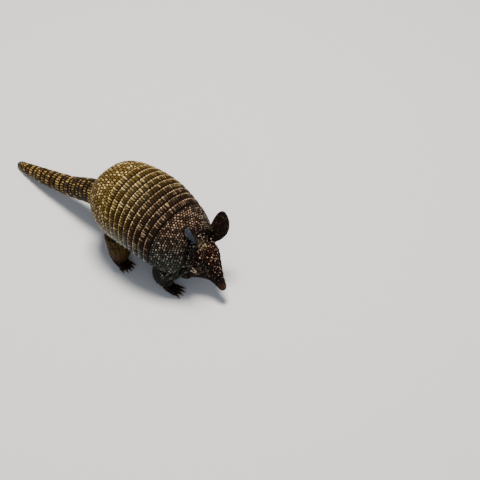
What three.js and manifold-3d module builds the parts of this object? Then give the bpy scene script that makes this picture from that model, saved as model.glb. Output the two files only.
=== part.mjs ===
// A small painted figurine of a nine-banded armadillo, standing, with its snout held low.
// Millimetres, +Z up. The animal faces -Y, its left side is +X, and it stands on z = 0.
import * as THREE from 'three';
import { mergeVertices } from 'three/addons/utils/BufferGeometryUtils.js';
import Module from 'manifold-3d';

const wasm = await Module();
wasm.setup();

// ---------------------------------------------------------------- driving dimensions

const GAP = 0.3; // clearance left between neighbouring pieces
const PLATE = 1.5; // thickness of the shell
const LAP = 0.3; // how far the rear edge of a band stands above its front edge

const COLLAR_Y = -30; // front edge of the shell, on its axis
const RUMP_Y = 33.5; // rear edge of the shell, on its axis
const BANDS = 9;
const BANDS_START = 0.255; // stations along the shell, 0 at the collar and 1 at the rump
const BANDS_END = 0.7;
const COLLAR_CORNER = 0.09; // how far the shell's front corners are rounded off, in stations
const COLLAR_NOTCH = 0.05; // and how far its front edge is hollowed over the neck
const TRUNK_START = 0.17;
const TRUNK_END = 0.99;

const NOSE = new THREE.Vector3(-1.6, -48.4, 8.8); // tip of the snout
const HEAD_LENGTH = 29;
const HEAD_YAW = -14; // degrees: the nose turns to the animal's right
const HEAD_PITCH = 31; // nose down
const HEAD_ROLL = 14; // left ear lower than the right
const NECK_FLANK = 1.5; // how far the rim of the neck stands ahead of its middle, at its flanks
const SHIELD_THICKNESS = 0.7; // the plate on the forehead
const SHIELD_START = 7; // where that plate starts and ends, behind the nose tip
const SHIELD_END = 25.5;

const EYE_RADIUS = 1.4;
const EYE_BACK = 17.5; // behind the nose tip
const EYE_ANGLE = 106; // degrees from the top of the head
const EYE_PROUD = 0.45; // part of the eyeball's radius that stands out of the socket

const EAR_THICKNESS = 0.9;
const EAR_TURN = 8; // degrees that both ears turn towards the animal's left
const EAR_CUP = 0.22; // how deep the ear is cupped, against its width

// Each ear's root is given in the head's own axes: left, back of the nose tip, and up. Bow is how far the
// middle of the ear lies out of the straight line. Tilt and splay are the degrees that it leans back and
// falls outward.
const EARS = [
  {
    name: 'ear_left', side: 1, root: [5.4, 26, 4], length: 17.3, width: 10.5, bow: 1.2,
    tilt: 32, splay: 23,
  },
  {
    name: 'ear_right', side: -1, root: [-8.7, 27.5, 8.5], length: 15, width: 9, bow: 0,
    tilt: 27, splay: 27,
  },
];

const TAIL_RINGS = 10;
const TAIL_TIP_START = 0.86; // station along the tail where its last piece begins
const TAIL_FLARE = 0.25; // how far the rear edge of a ring stands out

// Points of a leg are given for the left side. The heel is on the floor, under the back of the foot.
const LEGS = [
  {
    name: 'front', hip: [11.5, -21.5, 19], knee: [15, -18, 11], ankle: [14.2, -20.5, 4.5],
    thigh: 8, shank: 3.9, heel: [14.8, -17], length: 9.5, width: 7.4, height: 5.2,
    toeIn: 14, claws: 4, clawLength: 3.2,
  },
  {
    name: 'hind', hip: [14, 15, 24], knee: [17.8, 11, 13], ankle: [16.8, 15.5, 5],
    thigh: 8.5, shank: 4.2, heel: [15.8, 18.5], length: 13, width: 8.4, height: 5.6,
    toeIn: -6, claws: 5, clawLength: 2.4,
  },
];
const TOE_LENGTH = 3.6;
const TOE_RADIUS = 1.35;
const TOE_HEIGHT = 1.5; // of the toe's axis above the floor
const CLAW_RADIUS = 0.75;
const CLAW_SPREAD = 12; // degrees between neighbouring claws
const CLAW_DROP = 0.9; // how far a claw bends down by its tip

// ---------------------------------------------------------------- curves and forms

const LEFT = new THREE.Vector3(1, 0, 0);
const UP = new THREE.Vector3(0, 0, 1);
const { clamp, degToRad: radians, lerp, radToDeg: degrees, smoothstep } = THREE.MathUtils;

// A smooth function through a few [station, value] knots.
function curve(...knots) {
  const slope = (i) => {
    const [t0, v0] = knots[Math.max(i - 1, 0)];
    const [t1, v1] = knots[Math.min(i + 1, knots.length - 1)];
    return (v1 - v0) / (t1 - t0);
  };
  return (t) => {
    let i = 0;
    while (i < knots.length - 2 && t > knots[i + 1][0]) i += 1;
    const [t0, v0] = knots[i];
    const [t1, v1] = knots[i + 1];
    const span = t1 - t0;
    const u = clamp((t - t0) / span, 0, 1);
    const rise = u * u * (3 - 2 * u);
    const ease = u * (1 - u);
    return v0 + (v1 - v0) * rise + span * ease * ((1 - u) * slope(i) - u * slope(i + 1));
  };
}

// Cosine or sine raised to a power below one, which squares a round section a little.
const squared = (value, power) => Math.sign(value) * Math.abs(value) ** power;
const SIDE_POWER = 0.85;
const BACK_POWER = 0.9;

// Profiles of the body, by station from the collar (0) to the rump (1).
const halfWidth = curve(
  [0, 14.2], [0.2, 20.6], [0.4, 23.3], [0.6, 23.4], [0.8, 21.2], [0.92, 17.6], [1, 12.6],
);
const axisHeight = curve([0, 15.5], [0.25, 23.5], [0.5, 28.5], [0.75, 27.5], [1, 22.5]);
const backRise = curve(
  [0, 18.2], [0.2, 18.7], [0.4, 19.4], [0.6, 21.6], [0.8, 23], [0.92, 18.4], [1, 11.4],
);
const bellyDrop = curve([0, 9.5], [0.25, 12], [0.5, 14], [0.85, 13.4], [1, 10.6]);
const lean = curve([0, -7], [0.3, -1], [0.6, 7], [1, 30]); // degrees that a section tips back
const rimAngle = curve([0, 94], [0.2, 104], [0.5, 110], [1, 124]); // from the spine to the shell's rim

// A point on the body. The angle is 0 at the spine and positive on the animal's left.
function bodyPoint(station, angle, grow = 0, full = 1) {
  const up = Math.cos(angle);
  const reach = (up > 0 ? backRise(station) : bellyDrop(station)) + grow;
  const rise = reach * full * squared(up, BACK_POWER);
  const tip = radians(lean(station));
  return new THREE.Vector3(
    (halfWidth(station) + grow) * full * squared(Math.sin(angle), SIDE_POWER),
    lerp(COLLAR_Y, RUMP_Y, station) + rise * Math.sin(tip),
    axisHeight(station) + rise * Math.cos(tip),
  );
}

// Profiles of the head, by distance in millimetres behind the nose tip, in the head's own axes.
const headHalfWidth = curve(
  [0, 2.4], [4, 3], [8, 3.6], [12, 4.8], [16, 6.6], [20, 7.7], [HEAD_LENGTH, 7.2],
);
const headTop = curve([0, 1.9], [4, 2.5], [8, 3.4], [12, 4.4], [16, 5.5], [20, 6.5], [HEAD_LENGTH, 7.2]);
const headBottom = curve(
  [0, 2.1], [4, 2.9], [8, 4.4], [12, 9.6], [16, 16.8], [21, 19], [HEAD_LENGTH, 16.5],
);

function headPoint(distance, angle, grow = 0, full = 1) {
  const up = Math.cos(angle);
  const reach = (up > 0 ? headTop(distance) : headBottom(distance)) + grow;
  return new THREE.Vector3(
    (headHalfWidth(distance) + grow) * full * squared(Math.sin(angle), BACK_POWER),
    distance,
    reach * full * squared(up, BACK_POWER),
  );
}

// A point at a given place around a bent path: across follows the side direction, rise is square to it.
function around(path, side, station, across, rise) {
  const along = path.getTangent(station);
  const out = side.clone().addScaledVector(along, -side.dot(along)).normalize();
  const up = out.clone().cross(along);
  return path.getPoint(station).addScaledVector(out, across).addScaledVector(up, rise);
}

// ---------------------------------------------------------------- making geometry

// Moves every vertex of a geometry to the place that a function gives for it.
function formed(geometry, place) {
  const positions = geometry.attributes.position;
  for (let i = 0; i < positions.count; i += 1) {
    const point = place(positions.getX(i), positions.getY(i), positions.getZ(i));
    positions.setXYZ(i, point.x, point.y, point.z);
  }
  geometry.deleteAttribute('normal');
  geometry.deleteAttribute('uv');
  const closed = mergeVertices(geometry, 1e-4);
  closed.computeVertexNormals();
  return closed;
}

// A closed rounded form. The place function gets a station from 0 to 1, an angle from the top and how
// full the section is there, which falls to nothing at both ends. Blunt sets how square the ends are.
function rounded(segments, rings, blunt, place) {
  return formed(new THREE.SphereGeometry(1, segments, rings), (x, y, z) => {
    const full = (1 - clamp(Math.abs(y), 0, 1) ** blunt) ** (1 / blunt);
    return place((1 + y) / 2, Math.atan2(x, z), full);
  });
}

// A closed sleeve between two stations, with flat ends.
function sleeve(segments, rings, place) {
  return formed(new THREE.CylinderGeometry(1, 1, 1, segments, rings), (x, y, z) => {
    return place(y + 0.5, Math.atan2(x, z), Math.hypot(x, z));
  });
}

// A bent slab: across runs from -1 to 1, along and depth from 0 to 1.
function slab(acrossSegments, alongSegments, place) {
  return formed(new THREE.BoxGeometry(2, 1, 1, acrossSegments, alongSegments, 1), (x, y, z) => {
    return place(x, y + 0.5, z + 0.5);
  });
}

function ball(centre, radius, segments, rings) {
  return formed(new THREE.SphereGeometry(radius, segments, rings), (x, y, z) => {
    return new THREE.Vector3(x, y, z).add(centre);
  });
}

function solidOf(geometry) {
  return new wasm.Manifold(new wasm.Mesh({
    numProp: 3,
    vertProperties: new Float32Array(geometry.attributes.position.array),
    triVerts: new Uint32Array(geometry.index.array),
  }));
}

function geometryOf(solid) {
  const mesh = solid.getMesh();
  const geometry = new THREE.BufferGeometry();
  geometry.setAttribute('position', new THREE.BufferAttribute(mesh.vertProperties, 3));
  geometry.setIndex(new THREE.BufferAttribute(mesh.triVerts, 1));
  geometry.computeVertexNormals();
  return geometry;
}

// The first geometry with the others taken out of it.
function cut(geometry, ...others) {
  return geometryOf(others.reduce((solid, other) => solid.subtract(solidOf(other)), solidOf(geometry)));
}

// The largest of the separate bodies that a cut leaves.
function largest(geometry) {
  const bodies = solidOf(geometry).decompose();
  return geometryOf(bodies.reduce((best, body) => (body.volume() > best.volume() ? body : best)));
}

function joined(geometry, ...others) {
  return geometryOf(others.reduce((solid, other) => solid.add(solidOf(other)), solidOf(geometry)));
}

// ---------------------------------------------------------------- materials and nodes

function paint(color, roughness) {
  return new THREE.MeshStandardMaterial({ color, roughness, metalness: 0 });
}

const shellPaint = () => paint('#6b4d26', 0.45);
const shoulderPaint = () => paint('#4f3b2c', 0.45);
const skinPaint = () => paint('#2c211b', 0.55);
const facePaint = () => paint('#4a2b20', 0.5);
const earPaint = () => paint('#3b3a3f', 0.55);
const eyePaint = () => paint('#17100c', 0.12);
const clawPaint = () => paint('#8a7658', 0.4);

const model = new THREE.Group();

function add(name, geometry, material, parent = model) {
  const mesh = new THREE.Mesh(geometry, material);
  mesh.name = name;
  parent.add(mesh);
}

// ---------------------------------------------------------------- shell

const PLATE_SEGMENTS = 20;
const straightEdge = () => 0;
const collarEdge = (across) => {
  return COLLAR_CORNER * across ** 6 + COLLAR_NOTCH * (1 - across ** 2) ** 3;
};

// One plate of the shell, from rim to rim over the back. The lap lifts its rear edge, and the front edge
// function says how far that edge lies back, in stations. A margin makes the plate larger all round.
function plate(start, end, rows, lap, frontEdge, margin = 0) {
  return slab(PLATE_SEGMENTS, rows, (across, along, depth) => {
    const station = lerp(start + frontEdge(across), end, along);
    const grow = (depth - 1) * PLATE + lap * (along - 1) + margin * (2 * depth - 1);
    return bodyPoint(station, across * radians(rimAngle(station)), grow);
  });
}

const gapStation = GAP / (RUMP_Y - COLLAR_Y);
const bandStation = (band) => lerp(BANDS_START, BANDS_END, band / BANDS);

add('shoulder_shield', plate(0, BANDS_START - gapStation, 4, 0, collarEdge), shoulderPaint());
for (let band = 0; band < BANDS; band += 1) {
  const end = bandStation(band + 1) - gapStation;
  add(`band_${band + 1}`, plate(bandStation(band), end, 1, LAP, straightEdge), shellPaint());
}
add('pelvic_shield', plate(BANDS_END, 1, 6, 0, straightEdge), shellPaint());

// ---------------------------------------------------------------- trunk

const RIM_CLEAR = 4; // degrees past the rim where the belly starts to fill out
const RIM_FILLED = 24; // and where it is full

// The trunk lies inside the shell, and fills out to the full form below its rim.
function trunkForm(grow) {
  return rounded(18, 12, 6, (along, angle, full) => {
    const station = lerp(TRUNK_START, TRUNK_END, along);
    const past = degrees(Math.abs(angle)) - rimAngle(station);
    const inset = (PLATE + LAP + GAP) * (1 - smoothstep(past, RIM_CLEAR, RIM_FILLED));
    return bodyPoint(station, angle, grow - inset, full);
  });
}

add('trunk', trunkForm(0), skinPaint());

// The whole body with its shell on, larger all round. Legs and tail are cut by it.
const bodyEnvelope = rounded(24, 16, 10, (along, angle, full) => {
  return bodyPoint(along, angle, 2 * GAP, full);
});

// ---------------------------------------------------------------- head

const headGroup = new THREE.Group();
headGroup.position.copy(NOSE);
headGroup.rotation.set(radians(HEAD_PITCH), radians(HEAD_ROLL), radians(HEAD_YAW), 'ZXY');
model.add(headGroup);
headGroup.updateMatrixWorld(true);

function headForm(grow) {
  return rounded(20, 13, 5, (along, angle, full) => {
    return headPoint(along * HEAD_LENGTH, angle, grow, full);
  });
}

function eyeCentre(side) {
  const inward = EYE_RADIUS * (1 - EYE_PROUD);
  return headPoint(EYE_BACK, side * radians(EYE_ANGLE)).addScaledVector(LEFT, -side * inward);
}

const sockets = [-1, 1].map((side) => ball(eyeCentre(side), EYE_RADIUS + GAP, 10, 6));
add('head', cut(headForm(0), ...sockets), facePaint(), headGroup);
add('eye_left', ball(eyeCentre(1), EYE_RADIUS, 10, 7), eyePaint(), headGroup);
add('eye_right', ball(eyeCentre(-1), EYE_RADIUS, 10, 7), eyePaint(), headGroup);

const shieldAngle = curve([SHIELD_START, 36], [15, 46], [21, 49], [SHIELD_END, 36]); // to its edge

// The forehead plate lies a gap above the head. A margin makes it larger all round.
function shieldForm(margin) {
  return slab(8, 5, (across, along, depth) => {
    const distance = lerp(SHIELD_START - margin, SHIELD_END + margin, along);
    const edge = radians(shieldAngle(distance)) + margin / headTop(distance);
    const grow = GAP - 2 * margin + depth * (SHIELD_THICKNESS + 3 * margin);
    return headPoint(distance, across * edge, grow);
  });
}
add('head_shield', shieldForm(0), facePaint(), headGroup);

// The head with its plate, a gap larger all round. Neck and ears are cut by it.
const headOutside = joined(headForm(GAP), shieldForm(GAP), ...sockets);

// ---------------------------------------------------------------- neck

const neckPath = new THREE.CatmullRomCurve3([
  new THREE.Vector3(1.2, -29, 17),
  new THREE.Vector3(0.6, -22, 18),
  new THREE.Vector3(0, -15, 19.5),
]);
const neckWidth = curve([0, 12.4], [0.3, 13], [1, 13.6]);
const neckRise = curve([0, 17.5], [0.5, 17.6], [1, 15]);
const neckDrop = curve([0, 14], [0.3, 15], [1, 14.3]);

// The neck fills the front opening of the shell. Its flanks stand further forward than its top.
function neckForm(grow) {
  return rounded(18, 8, 6, (along, angle, full) => {
    const up = Math.cos(angle);
    const across = (neckWidth(along) + grow) * full * Math.sin(angle);
    const rise = ((up > 0 ? neckRise(along) : neckDrop(along)) + grow) * full * up;
    const point = around(neckPath, LEFT, along, across, rise);
    const ahead = grow + NECK_FLANK * (full * Math.sin(angle)) ** 2;
    return point.setY(point.y - ahead * (1 - along));
  });
}

const collar = plate(-gapStation, BANDS_START, 4, 0, collarEdge, GAP);
const headInPlace = headOutside.clone().applyMatrix4(headGroup.matrixWorld);
add('neck', cut(neckForm(0), headInPlace, trunkForm(GAP), collar), skinPaint());

// ---------------------------------------------------------------- ears

const earOutline = curve([0, 0.42], [0.2, 0.78], [0.5, 1], [0.75, 0.84], [0.92, 0.48], [1, 0.12]);

// The ear is a cupped leaf that opens to the side.
function ear({ side, root, length, width, bow, tilt, splay }) {
  const rise = new THREE.Vector3(0, Math.sin(radians(tilt)), Math.cos(radians(tilt)));
  rise.multiplyScalar(Math.cos(radians(splay))).setX(side * Math.sin(radians(splay)));
  const outward = LEFT.clone().multiplyScalar(side);
  outward.addScaledVector(rise, -outward.dot(rise)).normalize();
  outward.applyAxisAngle(rise, radians(EAR_TURN));
  const forward = new THREE.Vector3().crossVectors(rise, outward);
  return slab(6, 6, (across, along, depth) => {
    const half = (width / 2) * earOutline(along);
    const hollow = EAR_CUP * half * across * across + EAR_THICKNESS * (depth - 1);
    return new THREE.Vector3(...root)
      .addScaledVector(forward, half * across - bow * Math.sin(Math.PI * along))
      .addScaledVector(rise, length * along)
      .addScaledVector(outward, hollow);
  });
}

// The ears also clear the front of the shell and the neck.
const intoHead = headGroup.matrixWorld.clone().invert();
const collarInHead = collar.clone().applyMatrix4(intoHead);
const neckOutside = neckForm(GAP).applyMatrix4(intoHead);

for (const shape of EARS) {
  const blade = cut(ear(shape), headOutside, collarInHead, neckOutside);
  add(shape.name, largest(blade), earPaint(), headGroup);
}

// ---------------------------------------------------------------- tail

const tailPath = new THREE.CatmullRomCurve3([
  new THREE.Vector3(0, 31, 24),
  new THREE.Vector3(0, 48, 19.6),
  new THREE.Vector3(0, 64, 13.4),
  new THREE.Vector3(0.3, 83, 8.2),
  new THREE.Vector3(1.2, 99, 4.1),
  new THREE.Vector3(2.2, 111, 1.3),
]);
const tailRadius = curve([0, 8.1], [0.22, 6.9], [0.42, 5.7], [0.64, 4.5], [0.85, 3.1], [1, 2.2]);
const tailStation = curve([0, 0], [0.5, 0.4], [1, TAIL_TIP_START]); // rings grow longer towards the tip
const tailGap = GAP / tailPath.getLength();

function tailPoint(station, angle, radius) {
  const point = around(tailPath, LEFT, station, radius * Math.sin(angle), radius * Math.cos(angle));
  return point.setZ(Math.max(point.z, 0));
}

for (let ring = 0; ring < TAIL_RINGS; ring += 1) {
  const start = tailStation(ring / TAIL_RINGS);
  const end = tailStation((ring + 1) / TAIL_RINGS) - tailGap;
  const form = sleeve(14, 1, (along, angle, full) => {
    const station = lerp(start, end, along);
    return tailPoint(station, angle, (tailRadius(station) + TAIL_FLARE * along) * full);
  });
  const reachesBody = ring < 2;
  add(`tail_ring_${ring + 1}`, reachesBody ? cut(form, bodyEnvelope) : form, shellPaint());
}

// The tip lies on the floor, on a small flat.
const tailTip = rounded(12, 7, 3, (along, angle, full) => {
  const station = lerp(TAIL_TIP_START, 1, along);
  return tailPoint(station, angle, tailRadius(station) * full);
});
add('tail_tip', tailTip, shellPaint());

// ---------------------------------------------------------------- legs and feet

// Axes of a foot: where its heel is, which way it points, and what is across it.
function footFrame(leg, side) {
  const turn = radians(leg.toeIn);
  const along = new THREE.Vector3(-side * Math.sin(turn), -Math.cos(turn), 0);
  const heel = new THREE.Vector3(side * leg.heel[0], leg.heel[1], 0);
  return { heel, along, across: new THREE.Vector3().crossVectors(along, UP) };
}

// Width and height along the foot, against its full size, and how square its section is.
const footWidth = curve([0, 0.62], [0.5, 0.84], [1, 1]);
const footHeight = curve([0, 1], [0.35, 1], [0.8, 0.72], [1, 0.6]);
const FOOT_POWER = 0.8;
const SOLE_PRESSED = 0.5; // how much of the rounded sole is taken off, for a flat to stand on

function footForm(leg, side, grow) {
  const { heel, along: ahead, across: aside } = footFrame(leg, side);
  return rounded(12, 6, 3, (along, angle, full) => {
    const across = ((leg.width / 2) * footWidth(along) + grow) * full * Math.sin(angle);
    const reach = (leg.height * footHeight(along) + SOLE_PRESSED) / 2;
    const rise = reach - SOLE_PRESSED + (reach + grow) * full * squared(Math.cos(angle), FOOT_POWER);
    const run = (leg.length + 2 * grow) * along - grow;
    return heel.clone()
      .addScaledVector(ahead, run)
      .addScaledVector(aside, across)
      .setZ(Math.max(rise, 0));
  });
}

const LEG_WIDTH = 0.9; // a leg's section is flattened a little from side to side
const LEG_DEPTH = 1.1;

function legForm(leg, side) {
  const mirrored = ([x, y, z]) => new THREE.Vector3(side * x, y, z);
  const path = new THREE.CatmullRomCurve3([leg.hip, leg.knee, leg.ankle].map(mirrored));
  const radiusAt = curve([0, leg.thigh], [0.5, (leg.thigh + leg.shank) / 2], [1, leg.shank]);
  return rounded(12, 7, 5, (along, angle, full) => {
    const radius = radiusAt(along) * full;
    const across = LEG_WIDTH * radius * Math.sin(angle);
    return around(path, LEFT, along, across, LEG_DEPTH * radius * Math.cos(angle));
  });
}

const TOES_SPAN = 0.78; // part of the foot's width that the toes take up
const TOES_INSET = 1.6; // middle of the toes, behind the front of the foot
const TOES_BOW = 0.35; // how much further back each next toe from the middle lies

// Where each toe of a foot is, and the way that it points.
function toes(leg, side) {
  const { heel, along: ahead, across: aside } = footFrame(leg, side);
  return Array.from({ length: leg.claws }, (_, i) => {
    const off = i - (leg.claws - 1) / 2;
    const centre = heel.clone()
      .addScaledVector(ahead, leg.length - TOES_INSET - TOES_BOW * off * off)
      .addScaledVector(aside, (off * TOES_SPAN * leg.width) / leg.claws)
      .setZ(TOE_HEIGHT);
    const along = ahead.clone().applyAxisAngle(UP, -radians(CLAW_SPREAD * off));
    return { centre, along, across: new THREE.Vector3().crossVectors(along, UP) };
  });
}

function toeForm(toe) {
  return rounded(6, 4, 4, (along, angle, full) => {
    const radius = TOE_RADIUS * full;
    return toe.centre.clone()
      .addScaledVector(toe.along, TOE_LENGTH * (along - 0.5))
      .addScaledVector(toe.across, radius * Math.sin(angle))
      .addScaledVector(UP, radius * Math.cos(angle));
  });
}

// A claw is a bent cone that comes out of the toe and curves down to just above the floor.
function clawForm(toe, length) {
  return formed(new THREE.ConeGeometry(1, 1, 6, 3), (x, y, z) => {
    const along = y + 0.5;
    return toe.centre.clone()
      .addScaledVector(toe.along, TOE_LENGTH / 2 + GAP + length * along)
      .addScaledVector(toe.across, CLAW_RADIUS * x)
      .addScaledVector(UP, CLAW_RADIUS * z - CLAW_DROP * along * along);
  });
}

for (const leg of LEGS) {
  for (const [sideName, side] of [['left', 1], ['right', -1]]) {
    const label = `${leg.name}_${sideName}`;
    const footToes = toes(leg, side);
    const legCut = cut(legForm(leg, side), bodyEnvelope, neckForm(GAP), footForm(leg, side, GAP));
    add(`leg_${label}`, legCut, skinPaint());
    add(`foot_${label}`, joined(footForm(leg, side, 0), ...footToes.map(toeForm)), skinPaint());
    footToes.forEach((toe, i) => {
      add(`claw_${label}_${i + 1}`, clawForm(toe, leg.clawLength), clawPaint());
    });
  }
}

// ---------------------------------------------------------------- place on the floor

// The origin is under the middle of the whole figure, at floor level.
const box = new THREE.Box3().setFromObject(model, true);
const middle = box.getCenter(new THREE.Vector3());
model.position.set(-middle.x, -middle.y, -box.min.z);
model.updateMatrixWorld(true);

export default model;
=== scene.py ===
# %% [markdown]
# # A painted armadillo figurine
# The object is a small casting, about as long as a pencil, sculpted with every scute of a nine-banded
# armadillo and then painted in three steps: a dark wash that settles in the grooves, a body colour, and
# a nearly dry brush of a light colour that catches only what stands proud. So nearly all of the look
# comes from relief, and this lesson builds the relief as real geometry and lets the paint follow it.

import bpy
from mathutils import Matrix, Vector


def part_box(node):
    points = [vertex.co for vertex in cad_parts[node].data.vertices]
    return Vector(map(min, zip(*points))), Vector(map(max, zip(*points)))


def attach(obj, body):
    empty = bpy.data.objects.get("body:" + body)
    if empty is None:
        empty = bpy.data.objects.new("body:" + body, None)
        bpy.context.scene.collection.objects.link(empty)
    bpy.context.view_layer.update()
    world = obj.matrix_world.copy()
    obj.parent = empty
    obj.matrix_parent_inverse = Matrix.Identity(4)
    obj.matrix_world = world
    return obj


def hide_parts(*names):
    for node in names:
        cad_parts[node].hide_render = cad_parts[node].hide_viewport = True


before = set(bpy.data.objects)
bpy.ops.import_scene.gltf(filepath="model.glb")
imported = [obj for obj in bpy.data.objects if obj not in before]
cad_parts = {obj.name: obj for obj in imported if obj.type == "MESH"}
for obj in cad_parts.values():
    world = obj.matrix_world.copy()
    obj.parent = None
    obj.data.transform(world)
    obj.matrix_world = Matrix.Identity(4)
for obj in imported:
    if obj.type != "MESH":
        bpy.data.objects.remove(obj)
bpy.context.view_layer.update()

# %% Libraries and units
import math
from contextlib import contextmanager

import bmesh
import bpy
import numpy as np
from mathutils import Matrix, Vector

MM = 0.001  # the sculpting below is in millimetres, and Blender's unit is the metre


# %% [markdown]
# ## Camera, floor and light
# A catalogue shot of a small figure is taken from above with a long lens, so that the near and the far
# end keep nearly the same size. The figure stands left of the middle of the picture. The camera is
# placed by its viewing direction and its distance to a point inside the body. The light is one soft box
# almost straight above, which keeps the shadow short, and a larger, dim one on the camera's side that
# opens the shaded flank. The floor is plain and pale.

# %% Camera
AZIMUTH, ELEVATION = math.radians(-50), math.radians(45.5)
LENS = 100
DISTANCE = 701.75 * MM
ASIDE, BELOW = 43.95 * MM, 6.42 * MM  # how far the lens axis passes right of and below the point
HEART = Vector((0, -31.1, 22)) * MM  # the point inside the body

back = Vector((math.sin(AZIMUTH) * math.cos(ELEVATION), -math.cos(AZIMUTH) * math.cos(ELEVATION),
               math.sin(ELEVATION)))
right = Vector((math.cos(AZIMUTH), math.sin(AZIMUTH), 0))
above = back.cross(right)

camera = bpy.data.objects.new("camera", bpy.data.cameras.new("camera"))
camera.data.lens = LENS
camera.data.clip_start = 0.01
camera.location = HEART + back * DISTANCE + right * ASIDE - above * BELOW
camera.rotation_euler = (-back).to_track_quat("-Z", "Y").to_euler()
bpy.context.scene.collection.objects.link(camera)
bpy.context.scene.camera = camera
print("camera at", tuple(round(v, 3) for v in camera.location))


# %% Colours are sRGB hex values, which one function turns to linear
def colour(code):
    parts = np.array([int(code[i:i + 2], 16) for i in (1, 3, 5)]) / 255
    linear = np.where(parts <= 0.04045, parts / 12.92, ((parts + 0.055) / 1.055) ** 2.4)
    return (*linear.tolist(), 1.0)


# %% One small function adds a node with its settings and links
def add(tree, kind, inputs=None, **settings):
    """Inputs maps a socket's name or number to a value or to another node's output."""
    node = tree.nodes.new(kind)
    for key, value in settings.items():
        setattr(node, key, value)
    for key, value in (inputs or {}).items():
        if isinstance(value, bpy.types.NodeSocket):
            tree.links.new(value, node.inputs[key])
        else:
            node.inputs[key].default_value = value
    return node


def new_material(name):
    """A material and its node tree, which starts empty."""
    material = bpy.data.materials.new(name)
    material.use_nodes = True
    material.node_tree.nodes.clear()
    return material, material.node_tree


# %% Floor
FLOOR_SIZE = 6.0

floor_material, tree = new_material("Matt paper sweep")
paper = add(tree, "ShaderNodeBsdfPrincipled", {"Base Color": colour("#dfe2e6"), "Roughness": 0.8})
add(tree, "ShaderNodeOutputMaterial", {"Surface": paper.outputs[0]})

bpy.ops.mesh.primitive_plane_add(size=FLOOR_SIZE)
floor = bpy.context.object
floor.name = "floor"
floor.data.materials.append(floor_material)


# %% Lights
def soft_box(name, direction, distance, size, watts, code):
    """A square area light that faces the body from a direction."""
    light = bpy.data.lights.new(name, "AREA")
    light.size = size
    light.energy = watts
    light.color = colour(code)[:3]
    box = bpy.data.objects.new(name, light)
    towards = Vector(direction).normalized()
    box.location = HEART + towards * distance
    box.rotation_euler = towards.to_track_quat("Z", "Y").to_euler()
    bpy.context.scene.collection.objects.link(box)


soft_box("key", (0.12, 0.1, 1.0), distance=0.9, size=0.3, watts=15, code="#fff6ea")
soft_box("fill", (-1.0, -0.9, 0.9), distance=1.1, size=0.7, watts=2.2, code="#eef3ff")

world = bpy.data.worlds.new("studio")
world.use_nodes = True
studio_walls = world.node_tree.nodes["Background"].inputs
studio_walls["Color"].default_value = colour("#e9eef5")
studio_walls["Strength"].default_value = 0.3
bpy.context.scene.world = world


# %% [markdown]
# ## The shape of the body
# The shell is a tunnel that swells over the hips. Its sections are slightly squared ovals whose size
# changes along the back, so a handful of smooth curves describes all of it: the section's width, the
# height of its axis, how far it rises above and drops below that axis, and how far it leans back. The
# solids were made from the same curves. Repeating them here, rather than sculpting freely, keeps every
# fine scute within the casting's true outline.

# %% Smooth curves through a few knots
def curve(*knots):
    """A smooth function through (station, value) knots, for a number or an array."""
    at, value = np.array(knots, float).T
    slope = np.empty(len(at))
    slope[1:-1] = (value[2:] - value[:-2]) / (at[2:] - at[:-2])
    slope[0] = (value[1] - value[0]) / (at[1] - at[0])
    slope[-1] = (value[-1] - value[-2]) / (at[-1] - at[-2])

    def follow(t):
        i = np.clip(np.searchsorted(at, t) - 1, 0, len(at) - 2)
        span = at[i + 1] - at[i]
        u = np.clip((t - at[i]) / span, 0, 1)
        rise = u * u * (3 - 2 * u)
        ease = u * (1 - u) * ((1 - u) * slope[i] - u * slope[i + 1])
        return value[i] + (value[i + 1] - value[i]) * rise + span * ease

    return follow


def smoothstep(low, high, value):
    u = np.clip((value - low) / (high - low), 0, 1)
    return u * u * (3 - 2 * u)


def fade(low, high, value):
    """The other way round: 1 up to the low value and 0 from the high one."""
    return 1 - smoothstep(low, high, value)


def hump(offset, width):
    """1 where the offset is 0, falling off smoothly on both sides."""
    return np.exp(-(offset / width) ** 2)


def squared(value, power):
    """A sine or cosine raised to a power below one, which squares a round section a little."""
    return np.sign(value) * np.abs(value) ** power


def lerp(low, high, part):
    return low + (high - low) * part


def section(angle, width, top, bottom, powers, grow=0, full=1):
    """Across and rise of a point on a squared oval, for the angle from its top."""
    up = np.cos(angle)
    reach = np.where(up > 0, top, bottom) + grow
    return (width + grow) * full * squared(np.sin(angle), powers[0]), reach * full * squared(up, powers[1])


# %% Profiles of the body
COLLAR_Y, RUMP_Y = -30, 33.5  # the shell's front and rear edge on its axis
SHELL_LENGTH = RUMP_Y - COLLAR_Y
SIDE_POWER, BACK_POWER = 0.85, 0.9

half_width = curve((0, 14.2), (.2, 20.6), (.4, 23.3), (.6, 23.4), (.8, 21.2), (.92, 17.6), (1, 12.6))
axis_height = curve((0, 15.5), (.25, 23.5), (.5, 28.5), (.75, 27.5), (1, 22.5))
back_rise = curve((0, 18.2), (.2, 18.7), (.4, 19.4), (.6, 21.6), (.8, 23), (.92, 18.4), (1, 11.4))
belly_drop = curve((0, 9.5), (.25, 12), (.5, 14), (.85, 13.4), (1, 10.6))
lean = curve((0, -7), (.3, -1), (.6, 7), (1, 30))
rim_angle = curve((0, 94), (.2, 104), (.5, 110), (1, 124))  # degrees from the spine to the rim


def body_point(station, angle, grow=0, full=1):
    """A point on the body. The angle is 0 at the spine and positive on the animal's left."""
    x, rise = section(angle, half_width(station), back_rise(station), belly_drop(station),
                      (SIDE_POWER, BACK_POWER), grow, full)
    tip = np.radians(lean(station))
    y = lerp(COLLAR_Y, RUMP_Y, station) + rise * np.sin(tip)
    return np.stack(np.broadcast_arrays(x, y, axis_height(station) + rise * np.cos(tip)), -1)


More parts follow.
